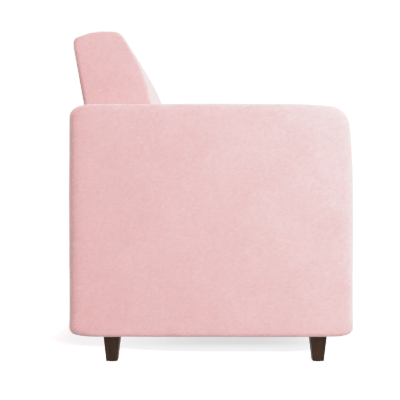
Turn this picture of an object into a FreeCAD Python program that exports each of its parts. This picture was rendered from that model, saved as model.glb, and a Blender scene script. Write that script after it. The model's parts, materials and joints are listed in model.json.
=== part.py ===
import FreeCAD, Part

import math
import os

import Sketcher

# Upholstered box-arm armchair with a leaning back, a loose seat cushion and four tapered wooden legs.
# Frame: +Z up, the sitter faces -Y, the chair's left arm is at +X, origin on the floor under the middle.

DIMENSIONS = {
    # whole chair
    "overall_width": 750,
    "fabric": 2,
    "hardboard": 3,
    "plywood": 18,
    "timber": 25,
    "gap": 0.5,
    "beyond": 1000,
    # box arms
    "arm_width": 120,
    "arm_front": 361,
    "arm_rear": 349,
    "arm_top": 652,
    "arm_bottom": 71,
    "arm_front_radius": 70,
    "arm_rear_radius": 38,
    "arm_foot_radius": 22,
    "arm_edge_radius": 18,
    "arm_side_foam": 17,
    "arm_front_foam": 25,
    "arm_top_foam": 28,
    "arm_rear_foam": 15,
    "arm_foot_pad": 4,
    "mount_rail_low": 92,
    "mount_rail_high": 250,
    "mount_rail_front": 300,
    "mount_rail_rear": 215,
    # seat box
    "seat_bottom": 77,
    "seat_box_height": 180,
    "front_border": 352,
    "front_foam": 10,
    "rear_rail_front": 120,
    "corner_block_side": 60,
    "corner_block_low": 100,
    "corner_block_high": 160,
    "deck_top": 294.5,
    "deck_foam": 24,
    "front_lip": 100,
    "dust_cover": 1,
    # sinuous springs
    "spring_wire": 3.8,
    "spring_loop_radius": 10,
    "spring_straight": 34,
    "spring_loops": 24,
    "spring_spacing": 104,
    "spring_rows": 4,
    # leaning back, measured in its own frame: up the lean, and forwards from its rear face
    "back_lean": 10.5,
    "back_rear": 331,
    "back_height": 664,
    "back_half_width": 252,
    "back_depth": 178.5,
    "back_top_rise": 182,
    "back_crown": 9,
    "back_front_arc": 330,
    "back_arc_turn": 26,
    "back_nose": 14,
    "back_rear_corner": 14,
    "back_front_corner": 24,
    "back_bottom": 296,
    "back_edge_radius": 9,
    "panel_down": 596,
    "board_up": 160,
    "panel_up": 161.5,
    "post_depth": 45,
    "post_down": 585,
    "post_up": 150,
    "back_rail_height": 60,
    "back_rail_setback": 10,
    "middle_rail_down": 110,
    "bottom_rail_down": 300,
    "strap_width": 60,
    "strap_pitch": 95,
    "strap_down": 330,
    "strap_count": 5,
    "upper_bolt_down": 440,
    "lower_bolt_down": 530,
    # loose seat cushion
    "cushion_half_width": 252,
    "cushion_front": 357,
    "cushion_bottom": 295,
    "cushion_top": 445,
    "cushion_gap": 6,
    "cushion_edge_radius": 14,
    "zip_half_length": 200,
    "zip_height": 60,
    "zip_tape_width": 26,
    "zip_tape": 0.8,
    "zip_coil_width": 5,
    "zip_coil": 1.8,
    "zip_end": 8,
    "slider_length": 12,
    "slider_width": 9,
    "slider_wall": 1.6,
    "slider_gap": 0.3,
    "slider_rest": 4,
    # legs and glides
    "leg_offset": 315,
    "leg_front": 280,
    "leg_rear": 245,
    "leg_top_side": 42,
    "leg_foot_side": 29,
    "leg_edge": 2,
    "glide_height": 2.5,
    "glide_radius": 9,
    # fasteners
    "bolt_radius": 4,
    "clearance_radius": 4.5,
    "nut_barrel_radius": 5,
    "nut_flange_radius": 11,
    "nut_flange": 1.5,
    "nut_barrel": 10,
    "washer_radius": 9,
    "washer": 1.6,
    "bolt_head_radius": 7.5,
    "bolt_head": 5.3,
    "screw_radius": 2,
    "screw_head_radius": 4,
    "screw_head": 3,
    "screw_length": 30,
    "screw_access_radius": 4.5,
    "screw_reach": 14,
    "screw_inset": 25,
    "hanger_low": 45,
    "hanger_high": 107,
    "nail_radius": 1.2,
    "nail_length": 14,
    "clip_width": 26,
    "clip_depth": 16,
    "clip_sheet": 1.2,
    "clip_inset": 12,
    "clip_fold": 3,
    "tie_radius": 1.5,
    "tie_half_length": 200,
    "tie_front": 130,
    "tie_rear": 290,
    "staple_crown": 11,
    "staple_wire": 1.2,
    "staple_height": 0.6,
    "staple_inset": 12,
    "staple_pitch": 62,
    "staple_count": 8,
    "arm_bolt_height": 205,
    "arm_bolt_front": 200,
    "arm_bolt_rear": 20,
}

doc = FreeCAD.newDocument("armchair")
sheet = doc.addObject("Spreadsheet::Sheet", "dims")
for row, (alias, number) in enumerate(DIMENSIONS.items(), start=1):
    sheet.set(f"A{row}", alias)
    sheet.set(f"B{row}", str(number))
    sheet.setAlias(f"B{row}", alias)
doc.recompute()

parts = []


def size(alias):
    """The number in a cell of the sheet."""
    return float(getattr(sheet, alias))


def keep(item, label):
    """Names a sub-part and lists it for export."""
    item.Label = label
    parts.append(item)
    return item


def mirrored(source, label):
    """The same piece on the other side of the chair, through the plane X = 0."""
    twin = doc.addObject("Part::Mirroring", label)
    twin.Source = source
    twin.Normal = (1, 0, 0)
    return keep(twin, label)


def pair(item, stem):
    """Keeps a piece of the left side and its mirrored twin on the right."""
    keep(item, stem + "_left")
    mirrored(item, stem + "_right")


def box(name, x, y, z):
    """A box between pairs of expressions along X, Y and Z."""
    solid = doc.addObject("Part::Box", name)
    for length, axis, (low, high) in (("Length", "x", x), ("Width", "y", y), ("Height", "z", z)):
        solid.setExpression(length, f"({high}) - ({low})")
        solid.setExpression(f"Placement.Base.{axis}", low)
    return solid


def cut(name, base, tool):
    item = doc.addObject("Part::Cut", name)
    item.Base = base
    item.Tool = tool
    return item


def shaped(name, shape):
    """A feature that holds a shape made with Part's own functions."""
    item = doc.addObject("Part::Feature", name)
    item.Shape = shape
    return item


def rod(start, direction, radius, length):
    return Part.makeCylinder(radius, length, FreeCAD.Vector(*start), FreeCAD.Vector(*direction))


def drilled(name, base, rods):
    """base with round holes through it."""
    return cut(name, base, shaped(name + "_drills", Part.makeCompound(rods)))


def with_twins(shapes):
    """The shapes and their mirror images through X = 0."""
    origin, normal = FreeCAD.Vector(0, 0, 0), FreeCAD.Vector(1, 0, 0)
    return shapes + [s.mirror(origin, normal) for s in shapes]


def placed(shape, start, direction):
    """shape, made along +Z, moved so that it starts at a point and runs along a direction."""
    turn = FreeCAD.Rotation(FreeCAD.Vector(0, 0, 1), FreeCAD.Vector(*direction))
    copy = shape.copy()
    copy.Placement = FreeCAD.Placement(FreeCAD.Vector(*start), turn)
    return copy


def compound(name, shapes):
    """Loose pieces kept as one sub-part."""
    return shaped(name, Part.makeCompound(shapes))


# PartDesign helpers


def new_body(name):
    return doc.addObject("PartDesign::Body", name)


def plane_of(body, role):
    return next(f for f in body.Origin.OriginFeatures if f.Role == role)


def sketch_on(body, role, offset="0"):
    """An empty sketch on one of the body's origin planes, moved along the plane's normal."""
    sketch = body.newObject("Sketcher::SketchObject", body.Name + "_sketch")
    sketch.AttachmentSupport = [(plane_of(body, role), "")]
    sketch.MapMode = "FlatFace"
    sketch.setExpression("AttachmentOffset.Base.z", offset)
    return sketch


def drive(sketch, constraint, expression):
    sketch.setExpression(f"Constraints[{constraint}]", expression)


def outline(sketch, corners):
    """A closed polygon. Each corner is a pair of expressions, its distances from the sketch's origin."""
    values = [[evaluate(sketch, e) for e in corner] for corner in corners]
    points = [FreeCAD.Vector(a, b, 0) for a, b in values]
    count = len(points)
    for i in range(count):
        sketch.addGeometry(Part.LineSegment(points[i], points[(i + 1) % count]))
    for i in range(count):
        sketch.addConstraint(Sketcher.Constraint("Coincident", i, 2, (i + 1) % count, 1))
    for i, corner in enumerate(corners):
        for kind, expression, number in zip(("DistanceX", "DistanceY"), corner, values[i]):
            place = sketch.addConstraint(Sketcher.Constraint(kind, -1, 1, i, 1, number))
            drive(sketch, place, expression)


def evaluate(item, expression):
    """The value of an expression now."""
    return float(item.evalExpression(expression))


def pad(body, sketch, length, middle=False):
    feature = body.newObject("PartDesign::Pad", body.Name + "_pad")
    feature.Profile = sketch
    feature.setExpression("Length", length)
    feature.Midplane = middle
    doc.recompute()
    return feature


def edges_where(feature, test):
    """Names of the feature's edges that pass a test, such as those along one axis."""
    return [f"Edge{i}" for i, e in enumerate(feature.Shape.Edges, start=1) if test(e)]


def rounded(body, base, radius, test):
    feature = body.newObject("PartDesign::Fillet", body.Name + "_fillet")
    feature.Base = (base, edges_where(base, test))
    feature.setExpression("Radius", radius)
    doc.recompute()
    return feature


def along_x_near(y, z):
    """A test for an edge along X that passes near (y, z)."""
    reach = size("hardboard")

    def test(edge):
        middle = edge.CenterOfMass
        ends = [v.Point for v in edge.Vertexes]
        straight = len(ends) == 2 and abs(ends[0].x - ends[1].x) > reach
        return straight and math.hypot(middle.y - y, middle.z - z) < reach

    return test


def in_plane_x(x):
    """A test for an edge that lies in the plane at x."""
    return lambda edge: all(abs(v.Point.x - x) < 1e-4 for v in edge.Vertexes)


HALF = "dims.overall_width / 2"
BEYOND = "dims.beyond"
ARM_INNER = f"{HALF} - dims.arm_width"
FABRIC = "dims.fabric"


# Box arms


def arm_block(name, inset):
    """The arm's rounded block, inset by an expression all round: the cover's outside, or the foam's."""
    body = new_body(name)
    sketch = sketch_on(body, "YZ_Plane", f"{ARM_INNER} + {inset}")
    front, rear = f"-dims.arm_front + {inset}", f"dims.arm_rear - {inset}"
    low, high = f"dims.arm_bottom + {inset}", f"dims.arm_top - {inset}"
    outline(sketch, [(front, low), (rear, low), (rear, high), (front, high)])
    shape = pad(body, sketch, f"dims.arm_width - 2 * ({inset})")
    y_front, y_rear, z_low, z_high = (evaluate(sketch, e) for e in (front, rear, low, high))
    for radius, corners in (
        ("dims.arm_front_radius", [(y_front, z_high)]),
        ("dims.arm_rear_radius", [(y_rear, z_high)]),
        ("dims.arm_foot_radius", [(y_front, z_low), (y_rear, z_low)]),
    ):
        tests = [along_x_near(y, z) for y, z in corners]
        shape = rounded(body, shape, f"{radius} - {inset}", lambda e: any(t(e) for t in tests))
    faces = [evaluate(sketch, e) for e in (f"{ARM_INNER} + {inset}", f"{HALF} - ({inset})")]
    tests_x = [in_plane_x(x) for x in faces]
    rounded(body, shape, f"dims.arm_edge_radius - {inset}", lambda e: any(t(e) for t in tests_x))
    return body


def arm_frame():
    """The ring of boards inside the arm, its two hardboard panels and the rail that takes the seat's bolts."""
    pad_thickness = f"({FABRIC} + dims.arm_side_foam)"
    panel_in = (f"{ARM_INNER} + {pad_thickness}", f"{ARM_INNER} + {pad_thickness} + dims.hardboard")
    panel_out = (f"{HALF} - {pad_thickness} - dims.hardboard", f"{HALF} - {pad_thickness}")
    across = (panel_in[1], panel_out[0])
    front = f"-dims.arm_front + {FABRIC} + dims.arm_front_foam"
    rear = f"dims.arm_rear - {FABRIC} - dims.arm_rear_foam"
    low = f"dims.arm_bottom + {FABRIC} + dims.arm_foot_pad"
    high = f"dims.arm_top - {FABRIC} - dims.arm_top_foam"
    between = (f"{low} + dims.timber", f"{high} - dims.plywood")
    made = {
        "arm_front_board": box("arm_front_board", across, (front, f"{front} + dims.plywood"), between),
        "arm_rear_board": box("arm_rear_board", across, (f"{rear} - dims.plywood", rear), between),
        "arm_top_board": box("arm_top_board", across, (front, rear), (between[1], high)),
        "arm_bottom_board": box("arm_bottom_board", across, (front, rear), (low, between[0])),
        "arm_inner_panel": box("arm_inner_panel", panel_in, (front, rear), (low, high)),
        "arm_outer_panel": box("arm_outer_panel", panel_out, (front, rear), (low, high)),
        "arm_mount_rail": box(
            "arm_mount_rail",
            (f"{ARM_INNER} + {FABRIC}", panel_in[0]),
            ("-dims.mount_rail_front", "dims.mount_rail_rear"),
            ("dims.mount_rail_low", "dims.mount_rail_high"),
        ),
    }
    hollow = box("arm_hollow", (panel_in[0], panel_out[1]), (front, rear), (low, high))
    return made, hollow


arm_outside = arm_block("arm_outside", "0")
arm_core = arm_block("arm_core", FABRIC)
arm_boards, arm_hollow = arm_frame()
doc.recompute()

leg_x = size("leg_offset")
leg_places = [(leg_x, -size("leg_front")), (leg_x, size("leg_rear"))]
board_top = size("arm_bottom") + size("fabric") + size("arm_foot_pad") + size("timber")
seat_side = size("overall_width") / 2 - size("arm_width")
panel_face = seat_side + size("fabric") + size("arm_side_foam") + size("hardboard")
arm_bolt_places = [(y, size("arm_bolt_height")) for y in (-size("arm_bolt_front"), size("arm_bolt_rear"))]


def fastener_holes(face, direction, through, nut_room):
    """Holes for a bolt and the barrel of its tee nut, whose flange lies on a face.

    face is where the bolt's line, along direction, meets the flange. through is how far the bolt's hole
    reaches behind the face, and nut_room how far the barrel's hole reaches in front of it.
    """
    line = FreeCAD.Vector(*direction)
    start = FreeCAD.Vector(*face)
    barrel = size("nut_barrel")
    return [
        rod(start - line * through, line, size("clearance_radius"), through + nut_room),
        rod(start - line * barrel, line, size("nut_barrel_radius"), barrel + nut_room),
    ]


arm_bolt_drills, hanger_drills = [], []
for y, z in arm_bolt_places:
    arm_bolt_drills += fastener_holes((panel_face, y, z), (1, 0, 0), panel_face - seat_side + 30, 20)
for x, y in leg_places:
    hanger_drills += fastener_holes((x, y, board_top), (0, 0, 1), board_top - size("arm_bottom") + 5, 20)
arm_drills = hanger_drills + arm_bolt_drills

pair(drilled("arm_cover", cut("arm_shell", arm_outside, arm_core), arm_drills), "arm_cover")
mount_pocket = box(
    "arm_mount_pocket",
    (f"{ARM_INNER} + {FABRIC}", f"{ARM_INNER} + {FABRIC} + dims.arm_side_foam"),
    ("-dims.mount_rail_front", "dims.mount_rail_rear"),
    ("dims.mount_rail_low", "dims.mount_rail_high"),
)
foam_ring = cut("arm_foam_ring", cut("arm_foam_block", arm_core, arm_hollow), mount_pocket)
pair(drilled("arm_foam", foam_ring, arm_drills), "arm_foam")
for stem, board in arm_boards.items():
    needs_holes = stem in ("arm_bottom_board", "arm_inner_panel", "arm_mount_rail")
    pair(drilled(stem + "_drilled", board, arm_drills) if needs_holes else board, stem)


# Leaning back: its frame has X across, Y towards the rear and Z up the lean, at the middle of the rear face


LEAN_PLACE = {
    "Placement.Base.y": "dims.back_rear",
    "Placement.Base.z": "dims.back_height",
    "Placement.Rotation.Angle": "dims.back_lean",
}
lean_turn = math.radians(size("back_lean"))


def lean_back(body):
    """Stands a body made in the back's own frame at its place in the chair."""
    body.Placement = FreeCAD.Placement(FreeCAD.Vector(), FreeCAD.Rotation(FreeCAD.Vector(-1, 0, 0), 10))
    for path, expression in LEAN_PLACE.items():
        body.setExpression(path, expression)
    return body


def leaning_box(name, x, forward, up):
    """A box in the back's frame: pairs of expressions across, forwards from the rear face and up."""
    body = new_body(name)
    block = body.newObject("PartDesign::AdditiveBox", name + "_block")
    spans = (("Length", "x", x), ("Width", "y", (f"-({forward[1]})", f"-({forward[0]})")),
             ("Height", "z", up))
    for length, axis, (low, high) in spans:
        block.setExpression(length, f"({high}) - ({low})")
        block.setExpression(f"Placement.Base.{axis}", low)
    return lean_back(body)


def in_chair(forward, up):
    """(y, z) in the chair's frame of a point of the back's frame."""
    y = size("back_rear") + up * math.sin(lean_turn) - forward * math.cos(lean_turn)
    z = size("back_height") + up * math.cos(lean_turn) + forward * math.sin(lean_turn)
    return y, z


def back_block(name, inset):
    """The back's block in side view: straight rear, crowned top, front that curves in towards the top."""
    body = new_body(name)
    sketch = sketch_on(body, "YZ_Plane")
    depth, top = size("back_depth") - inset, size("back_top_rise") - inset
    radius = size("back_front_arc") - inset
    low = -size("post_down") - size("post_depth")

    def on_front_arc(turn):
        return FreeCAD.Vector(-(depth - radius * (1 - math.cos(turn))), radius * math.sin(turn), 0)

    turn = math.radians(size("back_arc_turn"))
    spring, bulge, nose = on_front_arc(0), on_front_arc(turn / 2), on_front_arc(turn)
    corner_rear = FreeCAD.Vector(-inset, top - size("back_crown"), 0)
    corner_front = FreeCAD.Vector(nose.x + size("back_nose"), top - size("back_crown"), 0)
    crown = FreeCAD.Vector((corner_rear.x + corner_front.x) / 2, top, 0)
    foot_rear = FreeCAD.Vector(-inset, low, 0)
    foot_front = FreeCAD.Vector(-depth, low, 0)
    for curve in (
        Part.LineSegment(foot_rear, corner_rear),
        Part.Arc(corner_rear, crown, corner_front),
        Part.LineSegment(corner_front, nose),
        Part.Arc(nose, bulge, spring),
        Part.LineSegment(spring, foot_front),
        Part.LineSegment(foot_front, foot_rear),
    ):
        sketch.addGeometry(curve)
    block = pad(body, sketch, f"2 * (dims.back_half_width - {inset})", middle=True)
    for corner_radius, corner in (("back_rear_corner", corner_rear), ("back_front_corner", corner_front)):
        block = rounded(body, block, f"dims.{corner_radius} - {inset}", along_x_near(corner.x, corner.y))
    half_width = size("back_half_width") - inset
    sides = [in_plane_x(half_width), in_plane_x(-half_width)]
    rounded(body, block, f"dims.back_edge_radius - {inset}", lambda edge: any(side(edge) for side in sides))
    return lean_back(body)


BOARD_FRONT = f"{FABRIC} + dims.hardboard"
POST_FRONT = f"{BOARD_FRONT} + dims.post_depth"
POST_OUT = f"{ARM_INNER} - dims.timber"
everywhere = (f"-{BEYOND}", BEYOND)
panel_room = (f"-{BEYOND}", "dims.panel_up + dims.gap")

back_outside = back_block("back_outside", 0)
back_core = back_block("back_core", size("fabric"))
under_back = box("under_back", everywhere, everywhere, (f"-{BEYOND}", "dims.back_bottom"))
under_core = box("under_core", everywhere, everywhere, (f"-{BEYOND}", f"dims.back_bottom + {FABRIC}"))
back_shell = cut("back_shell", cut("back_solid", back_outside, under_back), back_core)
cover_room = leaning_box("cover_room", everywhere, (f"-{BEYOND}", FABRIC), panel_room)
keep(cut("back_cover_open", back_shell, cover_room), "back_cover")

frame_room = leaning_box(
    "frame_room", (f"-({POST_OUT}) - dims.gap", f"{POST_OUT} + dims.gap"),
    (f"-{BEYOND}", f"{POST_FRONT} + {FABRIC} + 2 * dims.gap"), (f"-{BEYOND}", "dims.post_up"),
)
board_room = leaning_box("board_room", everywhere, (f"-{BEYOND}", BOARD_FRONT), panel_room)
back_filling = cut("back_filling", cut("back_filling_block", back_core, under_core), frame_room)
keep(cut("back_foam_cut", back_filling, board_room), "back_foam")

post = leaning_box(
    "back_post", (f"{POST_OUT} - dims.timber", POST_OUT), (BOARD_FRONT, POST_FRONT),
    ("-dims.post_down", "dims.post_up"),
)
doc.recompute()
post_middle = size("fabric") + size("hardboard") + size("post_depth") / 2
back_bolt_places = [in_chair(post_middle, -size(down)) for down in ("upper_bolt_down", "lower_bolt_down")]
post_face = seat_side - size("timber")
post_inner = post_face - size("timber")
flange_seat = seat_side - size("nut_flange")
back_bolt_drills = []
for y, z in back_bolt_places:
    back_bolt_drills += fastener_holes((flange_seat, y, z), (1, 0, 0), flange_seat - post_inner + 30, 5)
    back_bolt_drills.append(rod((flange_seat, y, z), (1, 0, 0), size("nut_flange_radius"), 5))
pair(drilled("back_post_drilled", post, back_bolt_drills), "back_post")

between_posts = (f"-({POST_OUT} - dims.timber)", f"{POST_OUT} - dims.timber")
rail_rear = f"{BOARD_FRONT} + dims.back_rail_setback"
for label, rail_top in (
    ("back_top_rail", "dims.post_up"),
    ("back_middle_rail", "-dims.middle_rail_down"),
    ("back_bottom_rail", "-dims.bottom_rail_down"),
):
    rail = leaning_box(
        label + "_body", between_posts, (rail_rear, f"{rail_rear} + dims.timber"),
        (f"{rail_top} - dims.back_rail_height", rail_top),
    )
    keep(rail, label)

straps = []
for i in range(int(size("strap_count"))):
    strap_low = f"{i} * dims.strap_pitch - dims.strap_down"
    strap = leaning_box(
        f"strap_{i}", (f"-({POST_OUT})", POST_OUT), (POST_FRONT, f"{POST_FRONT} + {FABRIC}"),
        (strap_low, f"{strap_low} + dims.strap_width"),
    )
    straps.append(strap)
webbing = doc.addObject("Part::Compound", "webbing")
webbing.Links = straps
keep(webbing, "back_webbing")

BOARD_SIDE = "(dims.back_half_width - dims.back_edge_radius)"
outside_board = leaning_box(
    "outside_board", (f"-{BOARD_SIDE}", BOARD_SIDE), (FABRIC, BOARD_FRONT),
    ("-dims.panel_down", "dims.board_up"),
)
outside_cover = leaning_box(
    "outside_cover", ("-dims.back_half_width", "dims.back_half_width"), ("0", FABRIC),
    ("-dims.panel_down", "dims.panel_up"),
)
keep(outside_board, "outside_back_board")
keep(outside_cover, "outside_back_cover")


# Seat box


RAIL_TOP = "dims.seat_bottom + dims.seat_box_height"
RAIL_FRONT = f"-dims.front_border + {FABRIC} + dims.front_foam"
RAIL_BACK = f"{RAIL_FRONT} + dims.timber"
SIDE_IN = f"{ARM_INNER} - dims.timber"
LEAN_SLOPE = "tan(dims.back_lean * 1deg)"
BOARD_INSET = f"({BOARD_FRONT} + dims.gap) / cos(dims.back_lean * 1deg)"


def board_line(z):
    """Y of the outside back board's front face at a height."""
    return f"dims.back_rear - (dims.back_height - ({z})) * {LEAN_SLOPE} - {BOARD_INSET}"


rail_height = ("dims.seat_bottom", RAIL_TOP)
front_rail = box("front_rail", (f"-({ARM_INNER})", ARM_INNER), (RAIL_FRONT, RAIL_BACK), rail_height)
rear_rail = box(
    "rear_rail", (f"-({SIDE_IN})", SIDE_IN),
    ("dims.rear_rail_front", "dims.rear_rail_front + dims.timber"), rail_height,
)
side_body = new_body("side_rail")
side_sketch = sketch_on(side_body, "YZ_Plane", SIDE_IN)
outline(side_sketch, [
    (RAIL_BACK, "dims.seat_bottom"),
    (board_line("dims.seat_bottom"), "dims.seat_bottom"),
    (board_line(RAIL_TOP), RAIL_TOP),
    (RAIL_BACK, RAIL_TOP),
])
pad(side_body, side_sketch, "dims.timber")
side_rail = drilled("side_rail_drilled", side_body, arm_bolt_drills + back_bolt_drills)


def corner_block(name, y, direction):
    """A three-cornered glue block inside a corner of the seat box."""
    body = new_body(name)
    sketch = sketch_on(body, "XY_Plane", "dims.corner_block_low")
    tip = f"{y} + {direction} * dims.corner_block_side"
    corners = [(SIDE_IN, y), (f"{SIDE_IN} - dims.corner_block_side", y), (SIDE_IN, tip)]
    outline(sketch, corners if direction < 0 else [corners[0], corners[2], corners[1]])
    pad(body, sketch, "dims.corner_block_high - dims.corner_block_low")
    return body


front_block = corner_block("front_block", RAIL_BACK, 1)
rear_block = corner_block("rear_block", "dims.rear_rail_front", -1)
doc.recompute()
rail_face = evaluate(sheet, RAIL_BACK)
side_in = seat_side - size("timber")
block_height = (size("corner_block_low") + size("corner_block_high")) / 2

# Screws of the corner blocks: one into each end rail and one into each side rail

screw_head = Part.makeCone(size("screw_head_radius"), size("screw_radius"), size("screw_head"))
screw = screw_head.fuse(rod((0, 0, 0), (0, 0, 1), size("screw_radius"), size("screw_length"))).removeSplitter()
reach, inset = size("screw_reach"), size("screw_inset")
block_screws, access = [], []
for face, into in ((rail_face, -1), (size("rear_rail_front"), 1)):
    for start, direction in (
        ((side_in - inset, face - into * reach, block_height), (0, into, 0)),
        ((side_in - reach, face - into * inset, block_height), (1, 0, 0)),
    ):
        block_screws.append(placed(screw, start, direction))
        backwards = [-part for part in direction]
        access.append(rod(start, backwards, size("screw_access_radius"), size("corner_block_side")))

screw_tool = compound("screw_tool", with_twins(block_screws))
block_pair = doc.addObject("Part::Compound", "block_pair")
block_pair.Links = [front_block, rear_block]
blocks_left = drilled("blocks_left", block_pair, block_screws + access)
blocks_right = doc.addObject("Part::Mirroring", "blocks_right")
blocks_right.Source = blocks_left
blocks_right.Normal = (1, 0, 0)
blocks = doc.addObject("Part::Compound", "blocks")
blocks.Links = [blocks_left, blocks_right]
keep(blocks, "corner_blocks")
keep(compound("block_screws", with_twins(block_screws)), "corner_block_screws")
keep(cut("front_rail_screwed", front_rail, screw_tool), "seat_front_rail")
keep(cut("rear_rail_screwed", rear_rail, screw_tool), "seat_rear_rail")
pair(cut("side_rail_screwed", side_rail, screw_tool), "seat_side_rail")

# Front border, deck and dust cover

SEAT_SIDE = f"({ARM_INNER} - dims.gap)"
BORDER_FACE = "-dims.front_border"
BORDER_BACK = f"{BORDER_FACE} + {FABRIC}"
LIP_REAR = f"{BORDER_FACE} + dims.front_lip"
DECK_UNDER = f"dims.deck_top - {FABRIC}"
DECK_REAR = "dims.rear_rail_front + dims.timber"
DUST_LOW = "dims.seat_bottom - dims.dust_cover"
seat_across = (f"-{SEAT_SIDE}", SEAT_SIDE)
border_body = new_body("border")
outline(sketch_on(border_body, "YZ_Plane"), [
    (BORDER_FACE, DUST_LOW),
    (BORDER_BACK, DUST_LOW),
    (BORDER_BACK, DECK_UNDER),
    (LIP_REAR, DECK_UNDER),
    (LIP_REAR, "dims.deck_top"),
    (BORDER_FACE, "dims.deck_top"),
])
pad(border_body, border_body.Group[-1], f"2 * {SEAT_SIDE}", middle=True)
keep(border_body, "seat_front_border")
border_foam_height = ("dims.seat_bottom", DECK_UNDER)
keep(box("border_foam", seat_across, (BORDER_BACK, RAIL_FRONT), border_foam_height), "front_border_foam")
deck_foam_height = (f"{DECK_UNDER} - dims.deck_foam", DECK_UNDER)
keep(box("deck_foam_block", seat_across, (RAIL_FRONT, DECK_REAR), deck_foam_height), "seat_deck_foam")
deck_height = (DECK_UNDER, "dims.deck_top")
keep(box("deck_cloth_sheet", seat_across, (LIP_REAR, DECK_REAR), deck_height), "seat_deck_cloth")
dust_along = (BORDER_BACK, board_line("dims.seat_bottom"))
keep(box("dust_sheet", seat_across, dust_along, (DUST_LOW, "dims.seat_bottom")), "dust_cover")

# Staples of the dust cover: their crowns, along the rails

dust_low = size("seat_bottom") - size("dust_cover")
rear_rail_face = size("rear_rail_front")


def staple(x, y, along_x):
    crown, wire, height = size("staple_crown"), size("staple_wire"), size("staple_height")
    length, width = (crown, wire) if along_x else (wire, crown)
    return Part.makeBox(length, width, height, FreeCAD.Vector(x - length / 2, y - width / 2, dust_low - height))


staple_count, staple_inset = int(size("staple_count")), size("staple_inset")
seat_middle = (rail_face + rear_rail_face) / 2
staples = []
for i in range(staple_count):
    offset = size("staple_pitch") * (i - (staple_count - 1) / 2)
    staples.append(staple(offset, rail_face - staple_inset, True))
    staples.append(staple(offset, rear_rail_face + staple_inset, True))
    for side in (1, -1):
        staples.append(staple(side * (seat_side - staple_inset), seat_middle + offset, False))
keep(compound("staple_crowns", staples), "dust_cover_staples")

# Sinuous springs, their clips and tie wires

wire = size("spring_wire")
rail_top = size("seat_bottom") + size("seat_box_height")
spring_z = rail_top + size("clip_sheet") + wire / 2
row_count = int(size("spring_rows"))
spring_rows = [size("spring_spacing") * (i - (row_count - 1) / 2) for i in range(row_count)]
spring_front = rail_face - size("clip_inset")
spring_rear = spring_front + 2 * size("spring_loop_radius") * (size("spring_loops") - 1)


def sinuous_spring(x):
    """One zigzag spring: straight runs across, joined by half loops, from the front rail to the rear one."""
    loop, half = size("spring_loop_radius"), size("spring_straight") / 2
    count = int(size("spring_loops"))
    edges = []
    side = 1
    for i in range(count):
        y = spring_front + 2 * loop * i
        start = FreeCAD.Vector(x - side * half, y, spring_z)
        end = FreeCAD.Vector(x + side * half, y, spring_z)
        edges.append(Part.LineSegment(start, end).toShape())
        if i < count - 1:
            far = FreeCAD.Vector(x + side * (half + loop), y + loop, spring_z)
            following = FreeCAD.Vector(x + side * half, y + 2 * loop, spring_z)
            edges.append(Part.Arc(end, far, following).toShape())
        side = -side
    ring = Part.makeCircle(wire / 2, edges[0].Vertexes[0].Point, FreeCAD.Vector(1, 0, 0))
    return Part.Wire(edges).makePipeShell([Part.Wire(ring)], True, False)


keep(compound("springs", [sinuous_spring(x) for x in spring_rows]), "seat_springs")


def spring_clip(x, y):
    """A folded steel clip that holds the last run of a spring on top of a rail."""
    width, depth, metal = size("clip_width"), size("clip_depth"), size("clip_sheet")
    left, front = x - width / 2, y - depth / 2
    outer = Part.makeBox(width, depth, 2 * metal + wire, FreeCAD.Vector(left, front, rail_top))
    mouth = FreeCAD.Vector(left, front + size("clip_fold"), rail_top + metal)
    return outer.cut(Part.makeBox(width, depth, wire, mouth))


clips = [spring_clip(x, y) for x in spring_rows for y in (spring_front, spring_rear)]
keep(compound("clips", clips), "spring_clips")

tie_radius, tie_half = size("tie_radius"), size("tie_half_length")
tie_z = spring_z - wire / 2 - tie_radius
tie_places = [spring_front + size("tie_front"), spring_front + size("tie_rear")]
ties = [rod((-tie_half, y, tie_z), (1, 0, 0), tie_radius, 2 * tie_half) for y in tie_places]
keep(compound("ties", ties), "spring_tie_wires")


# Bolts and nuts


def hex_bolt(length):
    """A hexagon bolt with its washer, along +Z: the washer's bearing face is at the origin."""
    washer = rod((0, 0, -size("washer")), (0, 0, 1), size("washer_radius"), size("washer"))
    head_low = -size("washer") - size("bolt_head")
    turns = [math.radians(60 * i) for i in range(7)]
    radius = size("bolt_head_radius")
    corners = [FreeCAD.Vector(radius * math.cos(t), radius * math.sin(t), head_low) for t in turns]
    head = Part.Face(Part.makePolygon(corners)).extrude(FreeCAD.Vector(0, 0, size("bolt_head")))
    shank = rod((0, 0, -size("washer")), (0, 0, 1), size("bolt_radius"), length + size("washer"))
    return washer.fuse([head, shank]).removeSplitter()


def tee_nut():
    """A tee nut along +Z: its flange starts at the origin's plane and its barrel reaches back into the wood."""
    barrel_length = size("nut_barrel")
    flange = rod((0, 0, 0), (0, 0, 1), size("nut_flange_radius"), size("nut_flange"))
    barrel = rod((0, 0, -barrel_length), (0, 0, 1), size("nut_barrel_radius"), barrel_length)
    thread = rod((0, 0, -2 * barrel_length), (0, 0, 1), size("bolt_radius"), 4 * barrel_length)
    return flange.fuse(barrel).cut(thread).removeSplitter()


def fastener_set(name, shape, places, direction):
    """The same fastener at several places of the left side and their twins on the right."""
    made = [placed(shape, place, direction) for place in places]
    return keep(compound(name + "_set", with_twins(made)), name)


arm_bolt = hex_bolt(panel_face - side_in + size("nut_flange_radius") / 2)
arm_points = [(side_in, y, z) for y, z in arm_bolt_places]
fastener_set("arm_bolts", arm_bolt, arm_points, (1, 0, 0))
fastener_set("arm_tee_nuts", tee_nut(), [(panel_face, y, z) for y, z in arm_bolt_places], (1, 0, 0))

back_bolt = hex_bolt(seat_side - post_inner - 2 * size("gap"))
back_points = [(post_inner, y, z) for y, z in back_bolt_places]
fastener_set("back_bolts", back_bolt, back_points, (1, 0, 0))
fastener_set("back_tee_nuts", tee_nut(), [(flange_seat, y, z) for y, z in back_bolt_places], (1, 0, 0))

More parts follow.
